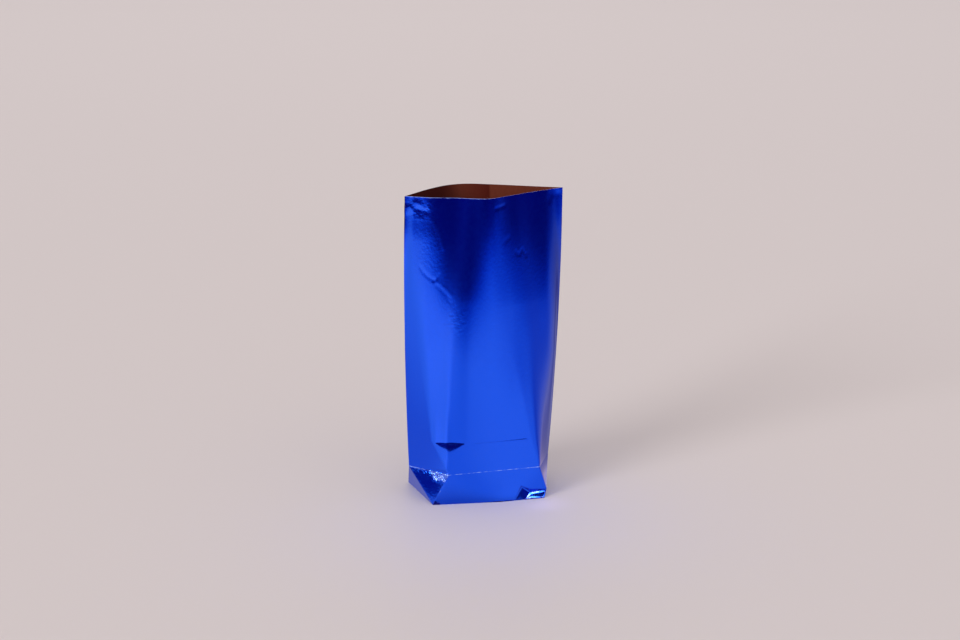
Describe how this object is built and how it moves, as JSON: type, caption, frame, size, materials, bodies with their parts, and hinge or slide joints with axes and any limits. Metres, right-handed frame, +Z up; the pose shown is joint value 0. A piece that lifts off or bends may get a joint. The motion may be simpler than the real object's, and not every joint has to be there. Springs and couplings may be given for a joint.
{
  "type": "praline bag",
  "caption": "Open, empty block-bottom bag for pralines, folded from a sheet of blue foil paper with a brown inside; it stands on its flat base and takes loose sweets through its mouth.",
  "frame": {"origin": "on the floor, inside the outline of the flat base, midway between its front and back edges", "axes": "+Z up through the open mouth, -Y out of the front with the crease, +X from the left side fold to the right one"},
  "size_m": [0.099, 0.0501, 0.19],
  "materials": {
    "foil_paper": "satin metallic blue outside, plain brown inside"
  },
  "bodies": {
    "root": {"bag": "foil_paper"}
  },
  "joints": []
}
